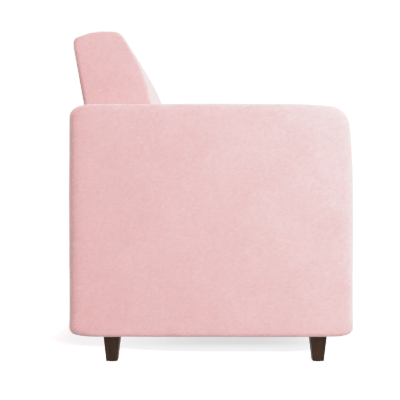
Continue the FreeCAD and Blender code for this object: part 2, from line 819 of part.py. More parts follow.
hanger_low = size("hanger_low")
hanger = rod((0, 0, 0), (0, 0, 1), size("bolt_radius"), size("hanger_high") - hanger_low)
fastener_set("leg_hanger_bolts", hanger, [(x, y, hanger_low) for x, y in leg_places], (0, 0, 1))
fastener_set("leg_tee_nuts", tee_nut(), [(x, y, board_top) for x, y in leg_places], (0, 0, 1))


# Legs and glides


def tapered_leg(name, y):
    """A square leg that tapers evenly to its foot, with eased edges."""
    body = new_body(name)
    sections = []
    for level, side in (("dims.glide_height", "dims.leg_foot_side"), ("dims.arm_bottom", "dims.leg_top_side")):
        sketch = sketch_on(body, "XY_Plane", level)
        half = f"{side} / 2"
        ease = f"({side} / 2 - dims.leg_edge)"
        ring = [(ease, half), (half, ease), (half, f"-{ease}"), (ease, f"-{half}"),
                (f"-{ease}", f"-{half}"), (f"-{half}", f"-{ease}"), (f"-{half}", ease), (f"-{ease}", half)]
        outline(sketch, [(f"dims.leg_offset + {a}", f"{y} + {b}") for a, b in ring])
        sections.append(sketch)
    loft = body.newObject("PartDesign::AdditiveLoft", name + "_loft")
    loft.Profile = sections[0]
    loft.Sections = [sections[1]]
    loft.Ruled = True
    doc.recompute()
    return body


foot, nail_length = size("glide_height"), size("nail_length")
nail = rod((0, 0, 0), (0, 0, 1), size("nail_radius"), foot + nail_length)
socket_length = size("arm_bottom") - hanger_low
for label, (x, y), across in (
    ("leg_front", leg_places[0], "-dims.leg_front"),
    ("leg_rear", leg_places[1], "dims.leg_rear"),
):
    socket = rod((x, y, hanger_low), (0, 0, 1), size("bolt_radius"), 2 * socket_length)
    holes = [socket, placed(nail, (x, y, 0), (0, 0, 1))]
    pair(drilled(label + "_drilled", tapered_leg(label + "_block", across), holes), label)

glide = rod((0, 0, 0), (0, 0, 1), size("glide_radius"), foot).fuse(nail).removeSplitter()
fastener_set("leg_glides", glide, [(x, y, 0) for x, y in leg_places], (0, 0, 1))


# Loose seat cushion with a zip along its rear boxing


def back_line(z, gap):
    """Y of the plane in front of the back, gap away from it, at a height."""
    reach = f"(dims.back_depth + {gap}) / cos(dims.back_lean * 1deg)"
    return f"dims.back_rear - (dims.back_height - ({z})) * {LEAN_SLOPE} - {reach}"


def cushion_block(name, inset):
    """The cushion's rounded block, inset by an expression all round."""
    body = new_body(name)
    sketch = sketch_on(body, "YZ_Plane")
    low, high = f"dims.cushion_bottom + {inset}", f"dims.cushion_top - {inset}"
    front = f"-dims.cushion_front + {inset}"
    gap = f"(dims.cushion_gap + {inset})"
    outline(sketch, [(front, low), (back_line(low, gap), low), (back_line(high, gap), high), (front, high)])
    block = pad(body, sketch, f"2 * (dims.cushion_half_width - {inset})", middle=True)
    rounded(body, block, f"dims.cushion_edge_radius - {inset}", lambda e: True)
    return body


cushion_outside = cushion_block("cushion_outside", "0")
cushion_core = cushion_block("cushion_core", FABRIC)
keep(cut("cushion_shell", cushion_outside, cushion_core), "cushion_cover")
keep(cushion_block("cushion_filling", FABRIC), "cushion_foam")

# The zip stands on the cushion's rear face, which is parallel to the back

CUSHION_REAR = "(dims.back_depth + dims.cushion_gap)"
TAPE_FACE = f"({CUSHION_REAR} - dims.zip_tape)"
COIL_FACE = f"({TAPE_FACE} - dims.zip_coil)"
ZIP_UP = "(dims.zip_height - (dims.back_height - dims.cushion_bottom) / cos(dims.back_lean * 1deg))"


def zip_box(name, across, forward, width):
    """A box of the zip: a band of some width around its line."""
    return leaning_box(name, across, forward, (f"{ZIP_UP} - ({width}) / 2", f"{ZIP_UP} + ({width}) / 2"))


tape_reach = "(dims.zip_half_length + dims.zip_end)"
tape = zip_box("zip_tape", (f"-{tape_reach}", tape_reach), (TAPE_FACE, CUSHION_REAR), "dims.zip_tape_width")
coil_reach = ("-dims.zip_half_length", "dims.zip_half_length")
coil = zip_box("zip_coil", coil_reach, (COIL_FACE, TAPE_FACE), "dims.zip_coil_width")
zipper = doc.addObject("Part::Fuse", "zipper")
zipper.Base = tape
zipper.Tool = coil
keep(zipper, "cushion_zip")

slider_end = "(dims.zip_half_length - dims.slider_rest)"
slider_block = zip_box(
    "slider_block", (f"{slider_end} - dims.slider_length", slider_end),
    (f"{COIL_FACE} - dims.slider_wall", f"{TAPE_FACE} - dims.slider_gap"), "dims.slider_width",
)
slider_channel = zip_box(
    "slider_channel", everywhere, (f"{COIL_FACE} - dims.slider_gap", CUSHION_REAR),
    "dims.zip_coil_width + 2 * dims.slider_gap",
)
keep(cut("slider", slider_block, slider_channel), "zip_slider")


# Check and export

doc.recompute()
for item in doc.Objects:
    if {"Invalid", "Error"} & set(item.State):
        raise RuntimeError(f"{item.Name} failed: {item.State}")
for item in parts:
    if item.Shape.isNull() or not item.Shape.isValid() or not item.Shape.Solids:
        raise RuntimeError(f"{item.Label} has no valid solid")
os.makedirs("parts", exist_ok=True)
for item in parts:
    item.Shape.exportStep(os.path.join("parts", item.Label + ".step"))
print(len(parts), "sub-parts")
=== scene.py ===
"""Looks of the upholstered armchair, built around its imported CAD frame. Metres; the sitter faces -Y."""

import json
import math

import bpy
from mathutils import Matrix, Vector, noise
from mathutils.bvhtree import BVHTree


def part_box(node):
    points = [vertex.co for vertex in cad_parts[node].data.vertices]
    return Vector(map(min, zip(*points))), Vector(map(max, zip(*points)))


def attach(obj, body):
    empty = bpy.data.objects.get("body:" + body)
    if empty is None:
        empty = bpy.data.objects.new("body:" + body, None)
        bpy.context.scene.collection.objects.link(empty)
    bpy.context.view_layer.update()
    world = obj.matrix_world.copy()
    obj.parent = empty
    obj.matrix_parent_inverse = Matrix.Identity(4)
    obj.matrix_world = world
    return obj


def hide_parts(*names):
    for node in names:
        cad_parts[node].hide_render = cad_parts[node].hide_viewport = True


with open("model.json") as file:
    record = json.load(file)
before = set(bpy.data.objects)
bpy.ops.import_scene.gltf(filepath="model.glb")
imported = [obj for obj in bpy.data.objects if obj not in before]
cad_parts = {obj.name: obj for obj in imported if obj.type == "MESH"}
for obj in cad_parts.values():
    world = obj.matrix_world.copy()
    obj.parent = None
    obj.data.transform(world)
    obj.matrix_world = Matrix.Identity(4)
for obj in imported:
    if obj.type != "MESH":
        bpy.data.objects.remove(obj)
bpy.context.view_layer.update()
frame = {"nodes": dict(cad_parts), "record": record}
nodes = frame["nodes"]

MM = 0.001

# The frame's own places

ARM_LOW, ARM_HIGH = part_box("arm_cover_left")
SEAT_HALF_WIDTH = ARM_LOW.x
CUSHION_LOW, CUSHION_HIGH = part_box("cushion_cover")
DECK_LOW, DECK_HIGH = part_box("seat_deck_cloth")
BORDER_LOW, BORDER_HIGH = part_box("seat_front_border")
DUST_LOW, DUST_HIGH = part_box("dust_cover")
OUTSIDE_LOW, OUTSIDE_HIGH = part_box("outside_back_cover")
BACK_HALF_WIDTH = OUTSIDE_HIGH.x

FABRIC = 2 * MM
BACK_LEAN = math.radians(10.5)
BACK_DEPTH = 178 * MM
OUTSIDE_INSET = (-4 * MM, 11 * MM)  # at the panel's bottom and top
BACK_BOTTOM = DECK_HIGH.z + 3.5 * MM


def new_piece(name, points, faces):
    """A smoothly shaded mesh object in the scene."""
    data = bpy.data.meshes.new(name)
    data.from_pydata([tuple(p) for p in points], [], faces)
    data.polygons.foreach_set("use_smooth", [True] * len(data.polygons))
    piece = bpy.data.objects.new(name, data)
    bpy.context.scene.collection.objects.link(piece)
    return piece


# Outlines: closed curves in a plane, drawn anticlockwise through rounded corners


class Corner:
    """A corner of an outline, rounded by a superellipse that starts and ends a reach away along each side."""

    STEPS = 12

    def __init__(self, a, b, reach, power=2.0, main=True):
        self.point = Vector((a, b))
        self.reach = reach if isinstance(reach, tuple) else (reach, reach)
        self.power = power
        self.main = main

    def curve(self, before, after):
        """Points along the rounding, from the side towards before to the side towards after."""
        along_before = (before - self.point).normalized() * self.reach[0]
        along_after = (after - self.point).normalized() * self.reach[1]
        middle = self.point + along_before + along_after
        points = []
        for i in range(2 * self.STEPS + 1):
            turn = math.pi / 4 * i / self.STEPS
            share_before = math.sin(turn) ** (2 / self.power)
            share_after = max(math.cos(turn), 0.0) ** (2 / self.power)
            points.append(middle - along_before * share_before - along_after * share_after)
        return points


def evenly_spaced(points, count):
    """count points, equally far apart along a run of points, without its last one."""
    lengths = [0.0]
    for p, q in zip(points, points[1:]):
        lengths.append(lengths[-1] + (q - p).length)
    found, k = [], 0
    for i in range(count):
        wanted = lengths[-1] * i / count
        while lengths[k + 1] < wanted:
            k += 1
        share = (wanted - lengths[k]) / max(lengths[k + 1] - lengths[k], 1e-9)
        found.append(points[k].lerp(points[k + 1], share))
    return found


def outline_runs(corners, counts):
    """The outline's four runs of points, each from the middle of a main corner to the middle of the next."""
    total = len(corners)
    curves = [c.curve(corners[i - 1].point, corners[(i + 1) % total].point) for i, c in enumerate(corners)]
    mains = [i for i, c in enumerate(corners) if c.main]
    runs = []
    for n, start in enumerate(mains):
        end = mains[(n + 1) % len(mains)]
        half = len(curves[start]) // 2
        points = curves[start][half:]
        k = (start + 1) % total
        while k != end:
            points += curves[k]
            k = (k + 1) % total
        points += curves[end][:half + 1]
        runs.append(evenly_spaced(points, counts[n % 2]))
    return runs


# Padded forms


def smooth_step(value):
    value = min(max(value, 0.0), 1.0)
    return value * value * (3 - 2 * value)


class PaddedForm:
    """A padded block: two faces with the same outline, joined by a boxing strip with rounded, seamed edges.

    edge(point) is the radius of the rounding between a face and the strip, at a point of the outline.
    place(a, b, h) turns a point of the outline's plane and a height above it into a point of the chair.
    strip_crown(point, share) is how far the strip swells at a point of the outline and a share of its width.
    A seamed form has a puckered seam and a stitched furrow round each edge; a plain one has neither.
    """

    SEAM_TURN = math.radians(62)
    SEAM_STEP = math.radians(8)
    SEAM_DEPTH = 2.0 * MM
    PUCKER = 26 * MM
    PUCKER_SHARE = 0.6
    STITCH_TURN = math.radians(32.4)
    STITCH_DEPTH = 0.7 * MM
    STRIP_FULLNESS = 0.8
    FACE_FULLNESS = 0.6

    def __init__(self, corners, counts, heights, edge, place, strip_crown, face_crown, strip_rows,
                 seamed=True):
        self.counts = counts
        self.heights = heights
        self.edge = edge
        self.place = place
        self.strip_crown = strip_crown
        self.face_crown = face_crown
        self.seam_depth = self.SEAM_DEPTH if seamed else 0.0
        self.stitch_depth = self.STITCH_DEPTH if seamed else 0.0
        self.loop = [p for run in outline_runs(corners, counts) for p in run]
        self.rows = self.ring_rows(strip_rows)
        low = Vector((min(p.x for p in self.loop), min(p.y for p in self.loop)))
        high = Vector((max(p.x for p in self.loop), max(p.y for p in self.loop)))
        self.middle, self.half = (low + high) / 2, (high - low) / 2

    def ring_rows(self, strip_rows):
        """(turn of the rounding, share of the strip's width) of each ring of points, from the low face up."""
        quarter = math.pi / 2
        seam, step = self.SEAM_TURN, self.SEAM_STEP
        stitched = self.STITCH_TURN
        turns = [0.0, stitched - step, stitched, stitched + step, seam - step, seam, seam + step, quarter]
        rows = [(turn, 0.0) for turn in turns]
        rows += [(quarter, i / strip_rows) for i in range(1, strip_rows)]
        rows += [(turn, 1.0) for turn in reversed(turns)]
        return rows

    def shrunk(self, point, inset):
        """A point of the outline moved in evenly, towards the outline's middle."""
        offset = point - self.middle
        scale = Vector((1 - inset / self.half.x, 1 - inset / self.half.y))
        return self.middle + offset * scale

    def ring(self, turn, along):
        """The points at a turn of the rounding, and at a share of the strip's width."""
        low, high = self.heights
        points = []
        for p in self.loop:
            edge = self.edge(p)
            sunk = self.stitch_depth if turn == self.STITCH_TURN else 0.0
            rise = edge * (1 - math.cos(turn)) + sunk * math.cos(turn)
            height = low + rise + (high - low - 2 * rise) * along
            share = (height - low) / (high - low)
            swell = self.strip_crown(p, share) * (4 * share * (1 - share)) ** self.STRIP_FULLNESS
            out = swell - edge * (1 - math.sin(turn)) - sunk * math.sin(turn)
            if turn == self.SEAM_TURN:
                pucker = noise.noise(Vector((p.x, p.y, along)) / self.PUCKER)
                out -= self.seam_depth * (1 + self.PUCKER_SHARE * pucker)
            flat = self.shrunk(p, -out)
            points.append(self.place(flat.x, flat.y, height))
        return points

    def face_points(self, height, sign):
        """Rows of points across a face, bounded by its ring: a Coons patch, crowned."""
        across, up = self.counts
        loop = [self.shrunk(p, self.edge(p)) for p in self.loop]
        bottom = loop[:across + 1]
        right = loop[across:across + up + 1]
        top = loop[across + up:2 * across + up + 1][::-1]
        left = (loop[2 * across + up:] + loop[:1])[::-1]
        rows = []
        for j in range(1, up):
            t = j / up
            row = []
            for i in range(1, across):
                s = i / across
                blend = bottom[i] * (1 - t) + top[i] * t + left[j] * (1 - s) + right[j] * s
                blend -= bottom[0] * (1 - s) * (1 - t) + bottom[-1] * s * (1 - t)
                blend -= top[0] * (1 - s) * t + top[-1] * s * t
                crown = self.face_crown * (16 * s * (1 - s) * t * (1 - t)) ** self.FACE_FULLNESS
                row.append(self.place(blend.x, blend.y, height + sign * crown))
            rows.append(row)
        return rows

    def mesh(self, name):
        """The form as a mesh object. Its ring of points k is kept in the vertices k * len(loop) onwards."""
        points, faces = [], []
        around = len(self.loop)
        for turn, along in self.rows:
            points += self.ring(turn, along)
        for k in range(len(self.rows) - 1):
            for i in range(around):
                n = (i + 1) % around
                faces.append((k * around + i, k * around + n, (k + 1) * around + n, (k + 1) * around + i))
        self.add_face(points, faces, 0, self.heights[0], -1)
        self.add_face(points, faces, (len(self.rows) - 1) * around, self.heights[1], 1)
        piece = new_piece(name, points, faces)
        self.turn_outwards(piece)
        return piece

    def add_face(self, points, faces, start, height, sign):
        """Closes the ring of points that begins at start with a face: sign is 1 above and -1 below."""
        across, up = self.counts
        around = len(self.loop)
        inner = self.face_points(height, sign)
        first = len(points)
        for row in inner:
            points += row

        def index(i, j):
            if j == 0:
                return start + i
            if i == across:
                return start + across + j
            if j == up:
                return start + 2 * across + up - i
            if i == 0:
                return start + (around - j) % around
            return first + (j - 1) * (across - 1) + i - 1

        for j in range(up):
            for i in range(across):
                quad = (index(i, j), index(i + 1, j), index(i + 1, j + 1), index(i, j + 1))
                faces.append(quad if sign > 0 else quad[::-1])

    def stitch_lines(self, piece):
        """The two rings of points that the edges' topstitching follows, one near each face."""
        around = len(self.loop)
        lines = []
        for k, (turn, _) in enumerate(self.rows):
            if turn == self.STITCH_TURN:
                lines.append([v.co.copy() for v in piece.data.vertices[k * around:(k + 1) * around]])
        return lines

    def caps(self, panel, seam):
        """How far each point may swell: the panels by one amount and the seamed edges by another."""
        across, up = self.counts
        quarter = math.pi / 2
        found = []
        for turn, along in self.rows:
            found += [panel if turn == quarter and 0 < along < 1 else seam] * len(self.loop)
        return found + [panel] * (2 * (across - 1) * (up - 1))

    @staticmethod
    def turn_outwards(piece):
        """Makes every face look out of the form."""
        data = piece.data
        volume = sum(f.center.dot(f.normal) * f.area for f in data.polygons)
        if volume < 0:
            data.flip_normals()


def add_modifier(piece, kind, **settings):
    modifier = piece.modifiers.new(kind.lower(), kind)
    for key, value in settings.items():
        setattr(modifier, key, value)


def apply_modifiers(piece):
    """Replaces the piece's mesh by what its modifiers make of it."""
    bpy.context.view_layer.update()
    graph = bpy.context.evaluated_depsgraph_get()
    shaped = bpy.data.meshes.new_from_object(piece.evaluated_get(graph))
    piece.modifiers.clear()
    piece.data = shaped
    shaped.polygons.foreach_set("use_smooth", [True] * len(shaped.polygons))


def spread(piece, moves, rounds):
    """Evens out the points' moves among neighbours, so that no fold is sharper than the mesh can show."""
    neighbours = [[] for _ in moves]
    for a, b in (e.vertices for e in piece.data.edges):
        neighbours[a].append(b)
        neighbours[b].append(a)
    for _ in range(rounds):
        means = [sum((moves[n] for n in near), Vector()) / len(near) for near in neighbours]
        moves = [move.lerp(mean, 0.5) for move, mean in zip(moves, means)]
    return moves


PUFF_FRAMES = 20
PUFF_ROUNDS = 4
PUFF_CLOTH = {
    "quality": 6,
    "mass": 0.3,
    "tension_stiffness": 12,
    "compression_stiffness": 12,
    "shear_stiffness": 5,
    "bending_stiffness": 0.6,
    "use_pressure": True,
}


def puff(piece, pressure, caps, stay):
    """Swells the piece as cloth under pressure.

    caps limits each point's move, and stay(point) holds it inside.
    """
    rest = [v.co.copy() for v in piece.data.vertices]
    cloth = piece.modifiers.new("cloth", "CLOTH")
    for key, value in PUFF_CLOTH.items():
        setattr(cloth.settings, key, value)
    cloth.settings.uniform_pressure_force = pressure
    cloth.settings.effector_weights.gravity = 0
    cloth.collision_settings.use_collision = False
    cloth.point_cache.frame_start = 1
    cloth.point_cache.frame_end = PUFF_FRAMES
    scene = bpy.context.scene
    for i in range(1, PUFF_FRAMES + 1):
        scene.frame_set(i)
    graph = bpy.context.evaluated_depsgraph_get()
    swollen = [v.co.copy() for v in piece.evaluated_get(graph).data.vertices]
    piece.modifiers.clear()
    scene.frame_set(1)
    moves = [end - start for start, end in zip(rest, swollen)]
    moves = [move * min(1.0, cap / max(move.length, 1e-9)) for move, cap in zip(moves, caps)]
    for vertex, start, move in zip(piece.data.vertices, rest, spread(piece, moves, PUFF_ROUNDS)):
        vertex.co = stay(start + move)


def ruffle(piece, amount, size, seed):
    """Moves each point along its normal by a smooth noise, so that no panel is quite even."""
    offset = Vector((7.3, 3.1, 5.7)) * seed
    normals = [v.normal.copy() for v in piece.data.vertices]
    for vertex, normal in zip(piece.data.vertices, normals):
        vertex.co += normal * amount * noise.noise(vertex.co / size + offset)


STITCH_PITCH = 8 * MM
STITCH_HALF = 2.7 * MM
THREAD_RADIUS = 0.5 * MM
THREAD_SIDES = 5
# (place along the stitch, thickness, height above the cloth) of a stitch's sections, in halves and radii
STITCH_SECTIONS = ((-1.0, 0.3, -0.6), (-0.55, 0.9, 0.3), (0.0, 1.0, 0.6), (0.55, 0.9, 0.3), (1.0, 0.3, -0.6))


def add_stitch(points, faces, centre, along, normal):
    """Adds one arched length of thread, whose ends dip into the cloth."""
    across = normal.cross(along).normalized()
    first = len(points)
    for step, thickness, lift in STITCH_SECTIONS:
        middle = centre + along * STITCH_HALF * step + normal * THREAD_RADIUS * lift
        for i in range(THREAD_SIDES):
            turn = 2 * math.pi * i / THREAD_SIDES
            radius = THREAD_RADIUS * thickness
            points.append(middle + (across * math.cos(turn) + normal * math.sin(turn)) * radius)
    last = len(points) - THREAD_SIDES
    for a in range(first, last, THREAD_SIDES):
        for i in range(THREAD_SIDES):
            n = (i + 1) % THREAD_SIDES
            faces.append((a + i, a + n, a + THREAD_SIDES + n, a + THREAD_SIDES + i))
    faces.append(tuple(first + i for i in reversed(range(THREAD_SIDES))))
    faces.append(tuple(last + i for i in range(THREAD_SIDES)))


def stitches(cover, lines, body):
    """Topstitching along closed lines on a finished cover."""
    mesh = cover.data
    surface = BVHTree.FromPolygons([v.co for v in mesh.vertices], [f.vertices for f in mesh.polygons])
    points, faces = [], []
    for line in lines:
        closed = line + line[:1]
        length = sum((b - a).length for a, b in zip(closed, closed[1:]))
        places = evenly_spaced(closed, round(length / STITCH_PITCH))
        for before, place, after in zip(places[-1:] + places[:-1], places, places[1:] + places[:1]):
            centre, normal, _, _ = surface.find_nearest(place)
            add_stitch(points, faces, centre, (after - before).normalized(), normal)
    piece = new_piece(f"{cover.name}_stitches", points, faces)
    dress(piece, THREAD)
    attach(piece, body)


def finish_padded(piece, body, replaced):
    """Makes the cover smooth, hangs it on the body it rides on and hides the CAD parts it stands for."""
    add_modifier(piece, "SUBSURF", levels=1, render_levels=1)
    apply_modifiers(piece)
    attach(piece, body)
    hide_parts(*replaced)


def finish_stitched(piece, form, body, replaced):
    """finish_padded with topstitching, whose lines are taken before the mesh is made finer."""
    lines = form.stitch_lines(piece)
    finish_padded(piece, body, replaced)
    stitches(piece, lines, body)


# Procedural materials


class Look:
    """A material's nodes, with short ways to add and link them."""

    def __init__(self, name, **shader):
        self.material = bpy.data.materials.new(name)
        self.material.use_nodes = True
        self.tree = self.material.node_tree
        self.shader = self.tree.nodes["Principled BSDF"]
        for socket, value in shader.items():
            self.shader.inputs[socket.replace("_", " ")].default_value = value
        self.place = self.node("ShaderNodeTexCoord").outputs["Object"]

    def node(self, kind, **settings):
        item = self.tree.nodes.new(kind)
        for key, value in settings.items():
            setattr(item, key, value)
        return item

    def link(self, output, socket):
        self.tree.links.new(output, socket)

    def stretched(self, scale, turn=(0, 0, 0)):
        """The object's coordinates, scaled by a different number along each axis of a turned frame."""
        mapping = self.node("ShaderNodeMapping", vector_type="TEXTURE")
        mapping.inputs["Scale"].default_value = tuple(1 / number for number in scale)
        mapping.inputs["Rotation"].default_value = turn
        self.link(self.place, mapping.inputs["Vector"])
        return mapping.outputs["Vector"]

    def noise(self, scale, detail=4.0, roughness=0.55, distortion=0.0, turn=(0, 0, 0)):
        """Noise with scale (x, y, z) features to the metre."""
        item = self.node("ShaderNodeTexNoise")
        item.inputs["Scale"].default_value = 1.0
        item.inputs["Detail"].default_value = detail
        item.inputs["Roughness"].default_value = roughness
        item.inputs["Distortion"].default_value = distortion
        self.link(self.stretched(scale, turn), item.inputs["Vector"])
        return item.outputs["Fac"]

    def ramp(self, factor, stops):
        item = self.node("ShaderNodeValToRGB")
        elements = item.color_ramp.elements
        while len(elements) < len(stops):
            elements.new(0.5)
        for element, (position, colour) in zip(elements, stops):
            element.position = position
            element.color = (*colour, 1.0)
        self.link(factor, item.inputs["Fac"])
        return item.outputs["Color"]

    def mix(self, factor, first, second, blend="MIX"):
        item = self.node("ShaderNodeMix", data_type="RGBA", blend_type=blend)
        inputs = [s for s in item.inputs if s.enabled]
        for socket, value in zip(inputs, (factor, first, second)):
            if isinstance(value, bpy.types.NodeSocket):
                self.link(value, socket)
            elif isinstance(value, float):
                socket.default_value = value
            else:
                socket.default_value = (*value, 1.0)
        return next(s for s in item.outputs if s.enabled)

    def scaled(self, value, low, high, start=0.0, end=1.0):
        """value, which runs from start to end, taken to the range from low to high."""
        item = self.node("ShaderNodeMapRange")
        for name, number in (("From Min", start), ("From Max", end), ("To Min", low), ("To Max", high)):
            item.inputs[name].default_value = number
        self.link(value, item.inputs["Value"])
        return item.outputs["Result"]

    def bump(self, height, strength, distance, after=None):
        item = self.node("ShaderNodeBump")
        item.inputs["Strength"].default_value = strength
        item.inputs["Distance"].default_value = distance
        self.link(height, item.inputs["Height"])
        if after is not None:
            self.link(after, item.inputs["Normal"])
        return item.outputs["Normal"]

    def set(self, socket, output):
        self.link(output, self.shader.inputs[socket])


def shade(colour, factor):
    return tuple(min(c * factor, 1.0) for c in colour)


NAP_SLANT = math.radians(17)


def suede_look(name, colour, glow):
    """Brushed microsuede: short slanting wisps and streaks, over faint broad blotches, with a fine grain.

    glow is how much light wanders through the pile and the padding, which warms the shaded edges.
    """
    look = Look(
        name, Roughness=0.9, Specular_IOR_Level=0.3,
        Sheen_Weight=0.3, Sheen_Roughness=0.45, Sheen_Tint=(1.0, 0.9, 0.9, 1.0),
        Subsurface_Weight=glow, Subsurface_Radius=(1.0, 0.25, 0.25), Subsurface_Scale=15 * MM,
    )
    slant = (-NAP_SLANT, NAP_SLANT, 0)
    blotches = look.noise((8, 8, 12), detail=3.0)
    wisps = look.noise((55, 55, 120), detail=5.0, roughness=0.68, distortion=0.5, turn=slant)
    fibres = look.noise((95, 95, 250), detail=4.0, roughness=0.72, distortion=1.0, turn=slant)
    pale = (colour[0] * 1.05, colour[1] * 1.055, colour[2] * 1.06)
    deep = (colour[0] * 0.95, colour[1] * 0.945, colour[2] * 0.945)
    slow = look.ramp(blotches, [(0.32, deep), (0.7, pale)])
    quick = look.ramp(wisps, [(0.3, deep), (0.52, colour), (0.72, pale)])
    cloth = look.mix(0.5, slow, quick)
    worn = look.ramp(fibres, [(0.34, (0.82, 0.905, 0.905)), (0.66, (1.06, 1.045, 1.045))])
    look.set("Base Color", look.mix(1.0, cloth, worn, blend="MULTIPLY"))
    look.set("Roughness", look.scaled(wisps, 0.84, 0.96))
    grain = look.bump(look.noise((900, 900, 900), detail=2.0), 0.35, 0.4 * MM)
    look.set("Normal", look.bump(wisps, 0.3, 1.2 * MM, after=grain))
    return look.material


WAVE_REPEAT = 0.314  # a wave texture of scale 1 repeats about this often, in metres


def woven_look(name, colour, thread):
    """Plain-woven cloth with threads of a given width."""
    look = Look(name, Roughness=0.9, Specular_IOR_Level=0.15, Sheen_Weight=0.15)
    waves = []
    for axis in ("X", "Y"):
        wave = look.node("ShaderNodeTexWave", wave_type="BANDS", bands_direction=axis)
        wave.inputs["Scale"].default_value = WAVE_REPEAT / thread
        wave.inputs["Distortion"].default_value = 0.6
        wave.inputs["Detail"].default_value = 1.0
        look.link(look.place, wave.inputs["Vector"])
        waves.append(wave.outputs["Fac"])
    crossed = look.node("ShaderNodeMath", operation="MULTIPLY")
    look.link(waves[0], crossed.inputs[0])
    look.link(waves[1], crossed.inputs[1])
    weave = crossed.outputs["Value"]
    worn = look.ramp(look.noise((12, 12, 12)), [(0.3, shade(colour, 0.88)), (0.7, shade(colour, 1.06))])
    look.set("Base Color", look.mix(look.scaled(weave, 0.0, 0.35), worn, shade(colour, 0.6)))
    look.set("Normal", look.bump(weave, 0.4, 0.5 * MM))
    return look.material


def thread_look(name, colour):
    """Twisted sewing thread."""
    look = Look(name, Roughness=0.7, Specular_IOR_Level=0.3, Sheen_Weight=0.2)
    twist = look.noise((1400, 1400, 1400), detail=2.0)
    look.set("Base Color", look.ramp(twist, [(0.35, shade(colour, 0.8)), (0.65, shade(colour, 1.08))]))
    look.set("Normal", look.bump(twist, 0.4, 0.2 * MM))
    return look.material


def wood_look(name, dark, light, grain, roughness):
    """Wood with grain lines drawn out along the axis whose number in grain is the smallest."""
    look = Look(name, Roughness=roughness, Specular_IOR_Level=0.12)
    fibres = look.noise(grain, detail=6.0, roughness=0.65, distortion=0.8)
    figure = look.noise(tuple(g * 0.22 for g in grain), detail=3.0, distortion=1.5)
    fine = look.ramp(fibres, [(0.34, dark), (0.66, light)])
    broad = look.ramp(figure, [(0.35, shade(dark, 0.8)), (0.68, shade(light, 1.12))])
    look.set("Base Color", look.mix(0.45, fine, broad))
    look.set("Roughness", look.scaled(fibres, roughness - 0.07, roughness + 0.12))
    look.set("Normal", look.bump(fibres, 0.25, 0.3 * MM))
    return look.material


def metal_look(name, colour, roughness):
    """Bare or enamelled metal with faint marks."""
    look = Look(name, Metallic=1.0, Roughness=roughness)
    marks = look.noise((160, 160, 160), detail=5.0)
    look.set("Base Color", look.ramp(marks, [(0.3, shade(colour, 0.82)), (0.7, colour)]))
    look.set("Roughness", look.scaled(marks, roughness - 0.08, roughness + 0.14))
    look.set("Normal", look.bump(marks, 0.12, 0.1 * MM))
    return look.material


def plastic_look(name, colour, roughness):
    """Moulded plastic with a fine skin."""
    look = Look(name, Roughness=roughness)
    skin = look.noise((700, 700, 700), detail=3.0)
    look.set("Base Color", look.ramp(skin, [(0.35, shade(colour, 0.85)), (0.65, shade(colour, 1.12))]))
    look.set("Roughness", look.scaled(skin, roughness - 0.05, roughness + 0.1))
    look.set("Normal", look.bump(skin, 0.15, 0.1 * MM))
    return look.material


WELDS_PER_METRE = 420


def felt_look(name, colour):
    """Thin non-woven cloth: crossing fibres with small spot welds."""
    look = Look(name, Roughness=0.95, Specular_IOR_Level=0.1)
    fibres = look.noise((260, 260, 260), detail=7.0, roughness=0.75, distortion=2.0)
    welds = look.node("ShaderNodeTexVoronoi", feature="F1")
    welds.inputs["Scale"].default_value = WELDS_PER_METRE
    look.link(look.place, welds.inputs["Vector"])
    look.set("Base Color", look.ramp(fibres, [(0.35, shade(colour, 0.6)), (0.68, shade(colour, 1.8))]))
    fine = look.bump(fibres, 0.4, 0.3 * MM)
    look.set("Normal", look.bump(welds.outputs["Distance"], 0.3, 0.3 * MM, after=fine))
    return look.material


PINK = (0.845, 0.505, 0.511)
SUEDE = suede_look("pink_microsuede", PINK, 0.7)
SUEDE_PANEL = suede_look("pink_microsuede_panel", PINK, 0.0)
THREAD = thread_look("pink_thread", shade(PINK, 0.9))
WALNUT_DARK, WALNUT_LIGHT = (0.010, 0.0040, 0.0016), (0.054, 0.0245, 0.0105)
LEG_WOOD = wood_look("dark_walnut_stain", WALNUT_DARK, WALNUT_LIGHT, (240, 240, 18), 0.5)
FRAME_WOOD = wood_look("planed_softwood", (0.45, 0.29, 0.15), (0.68, 0.49, 0.29), (18, 240, 240), 0.65)
HARDBOARD = wood_look("hardboard", (0.12, 0.065, 0.035), (0.19, 0.11, 0.06), (300, 300, 300), 0.6)
STEEL = metal_look("zinc_plated_steel", (0.55, 0.55, 0.56), 0.38)
SPRING_STEEL = metal_look("oiled_spring_steel", (0.28, 0.27, 0.26), 0.45)
WEBBING = woven_look("elastic_webbing", (0.05, 0.045, 0.04), 2.2 * MM)
DECK_CLOTH = woven_look("deck_lining", (0.62, 0.47, 0.45), 1.1 * MM)
DUST_FELT = felt_look("black_non_woven", (0.012, 0.012, 0.012))
GLIDE_PLASTIC = plastic_look("glide_plastic", (0.014, 0.013, 0.012), 0.5)
ZIP_TAPE = woven_look("zip_tape", (0.62, 0.34, 0.34), 0.8 * MM)
ZIP_METAL = metal_look("pink_enamelled_metal", (0.6, 0.36, 0.36), 0.35)


def dress(piece, material):
    piece.data.materials.clear()
    piece.data.materials.append(material)


# Arms: tight covers over foam. The front upper corner eases into long, drooping edges

ARM_EDGE, ARM_EDGE_BEHIND, ARM_EDGE_BENEATH = 16 * MM, 10 * MM, -4 * MM
ARM_EDGE_REACH = 60 * MM
ARM_CLEARANCE = 0.5 * MM


